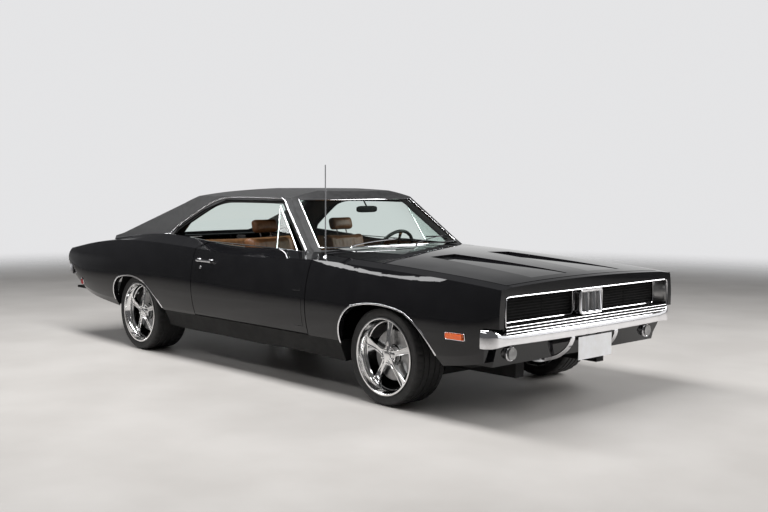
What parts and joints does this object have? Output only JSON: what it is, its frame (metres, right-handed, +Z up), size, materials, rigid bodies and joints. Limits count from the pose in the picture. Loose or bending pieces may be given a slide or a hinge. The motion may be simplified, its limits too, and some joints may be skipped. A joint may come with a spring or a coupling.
{
  "type": "muscle car",
  "caption": "Two-door fastback hardtop muscle car with hidden headlamps, buttressed roof, hinged doors, hood and trunk, steered front wheels.",
  "frame": {"origin": "on the ground under the middle of the overall length and width", "axes": "+X forward, +Y to the left side of the car, +Z up"},
  "size_m": [5.283, 1.946, 1.52],
  "materials": {
    "paint": "deep gloss black paint",
    "vinyl_roof": "black grained vinyl",
    "underbody": "satin black",
    "engine_metal": "painted iron",
    "black_grille": "satin black",
    "chrome_trim": "bright chrome",
    "lamp_glass": "clear lens",
    "red_lens": "red lens",
    "amber_lens": "orange lens",
    "plate_white": "plain white",
    "clear_glass": "clear, faint green",
    "tan_leather": "saddle tan",
    "dash_plastic": "black grained",
    "exhaust_steel": "brushed",
    "polished_rim": "polished",
    "tyre_rubber": "black rubber"
  },
  "bodies": {
    "body": {"floor_pan": "underbody", "front_frame": "underbody", "roof_shell": "vinyl_roof", "cowl_panel": "paint", "fender_left": "paint", "fender_right": "paint", "quarter_left": "paint", "quarter_right": "paint", "nose_header": "paint", "grille": "black_grille", "grille_divider": "chrome_trim", "headlamps": "lamp_glass", "front_bumper": "chrome_trim", "front_valance": "paint", "parking_lamps": "lamp_glass", "number_plate": "plate_white", "rear_deck": "paint", "tail_panel": "paint", "tail_lamps": "red_lens", "rear_bumper": "chrome_trim", "windshield": "clear_glass", "rear_window": "clear_glass", "side_markers": "amber_lens", "front_seats": "tan_leather", "rear_seat": "tan_leather", "dashboard": "dash_plastic", "engine_block": "engine_metal", "fuel_tank": "underbody", "exhaust": "exhaust_steel", "front_crossmember": "underbody", "rear_axle": "underbody", "wipers": "black_grille", "antenna": "chrome_trim", "inner_mirror": "chrome_trim", "rear_markers": "red_lens", "fuel_cap": "chrome_trim"},
    "door_right": {"door_right": "paint", "vent_window_right": "clear_glass", "door_handle_right": "chrome_trim"},
    "door_left": {"door_left": "paint", "vent_window_left": "clear_glass", "door_handle_left": "chrome_trim"},
    "hood": {"hood": "paint"},
    "trunk_lid": {"trunk_lid": "paint"},
    "headlamp_door_right": {"headlamp_door_right": "black_grille"},
    "headlamp_door_left": {"headlamp_door_left": "black_grille"},
    "knuckle_right": {"knuckle_right": "underbody"},
    "knuckle_left": {"knuckle_left": "underbody"},
    "steering_wheel": {"steering_wheel": "dash_plastic"},
    "wheel_front_right": {"rim_front_right": "polished_rim", "tyre_front_right": "tyre_rubber"},
    "wheel_front_left": {"rim_front_left": "polished_rim", "tyre_front_left": "tyre_rubber"},
    "wheel_rear_right": {"rim_rear_right": "polished_rim", "tyre_rear_right": "tyre_rubber"},
    "wheel_rear_left": {"rim_rear_left": "polished_rim", "tyre_rear_left": "tyre_rubber"}
  },
  "joints": [
    {"name": "steering_turn", "type": "hinge", "parent": "body", "child": "steering_wheel", "pos_m": [0.4445, 0.37, 0.85], "axis": [-0.9063, 0, 0.4226], "range_deg": [-512, 512]},
    {"name": "steer_right", "type": "hinge", "parent": "body", "child": "knuckle_right", "pos_m": [1.6615, -0.696, 0.314], "axis": [0, 0, 1], "range_deg": [-32, 32]},
    {"name": "steer_left", "type": "hinge", "parent": "body", "child": "knuckle_left", "pos_m": [1.6615, 0.696, 0.314], "axis": [0, 0, 1], "range_deg": [-32, 32]},
    {"name": "spin_front_right", "type": "hinge", "parent": "knuckle_right", "child": "wheel_front_right", "pos_m": [1.6615, -0.758, 0.314], "axis": [0, 1, 0], "continuous": true},
    {"name": "spin_front_left", "type": "hinge", "parent": "knuckle_left", "child": "wheel_front_left", "pos_m": [1.6615, 0.758, 0.314], "axis": [0, 1, 0], "continuous": true},
    {"name": "spin_rear_right", "type": "hinge", "parent": "body", "child": "wheel_rear_right", "pos_m": [-1.3105, -0.765, 0.314], "axis": [0, 1, 0], "continuous": true},
    {"name": "spin_rear_left", "type": "hinge", "parent": "body", "child": "wheel_rear_left", "pos_m": [-1.3105, 0.765, 0.314], "axis": [0, 1, 0], "continuous": true},
    {"name": "door_right_hinge", "type": "hinge", "parent": "body", "child": "door_right", "pos_m": [0.8865, -0.93, 0.62], "axis": [0, 0, 1], "range_deg": [0, 65]},
    {"name": "door_left_hinge", "type": "hinge", "parent": "body", "child": "door_left", "pos_m": [0.8865, 0.93, 0.62], "axis": [0, 0, -1], "range_deg": [0, 65]},
    {"name": "hood_hinge", "type": "hinge", "parent": "body", "child": "hood", "pos_m": [1.0815, 0, 0.93], "axis": [0, -1, 0], "range_deg": [0, 50]},
    {"name": "trunk_hinge", "type": "hinge", "parent": "body", "child": "trunk_lid", "pos_m": [-1.8685, 0, 0.915], "axis": [0, 1, 0], "range_deg": [0, 70]},
    {"name": "headlamp_door_turn", "type": "hinge", "parent": "body", "child": "headlamp_door_right", "pos_m": [2.4615, -0.592, 0.681], "axis": [0, -1, 0], "range_deg": [0, 90]},
    {"name": "headlamp_door_left_turn", "type": "hinge", "parent": "body", "child": "headlamp_door_left", "pos_m": [2.4615, 0.592, 0.681], "axis": [0, -1, 0], "range_deg": [0, 90]}
  ],
  "couplings": [
    {"joint": "steer_right", "follows": "steering_turn", "ratio": 0.0625},
    {"joint": "steer_left", "follows": "steering_turn", "ratio": 0.0625},
    {"joint": "headlamp_door_left_turn", "follows": "headlamp_door_turn", "ratio": 1}
  ]
}
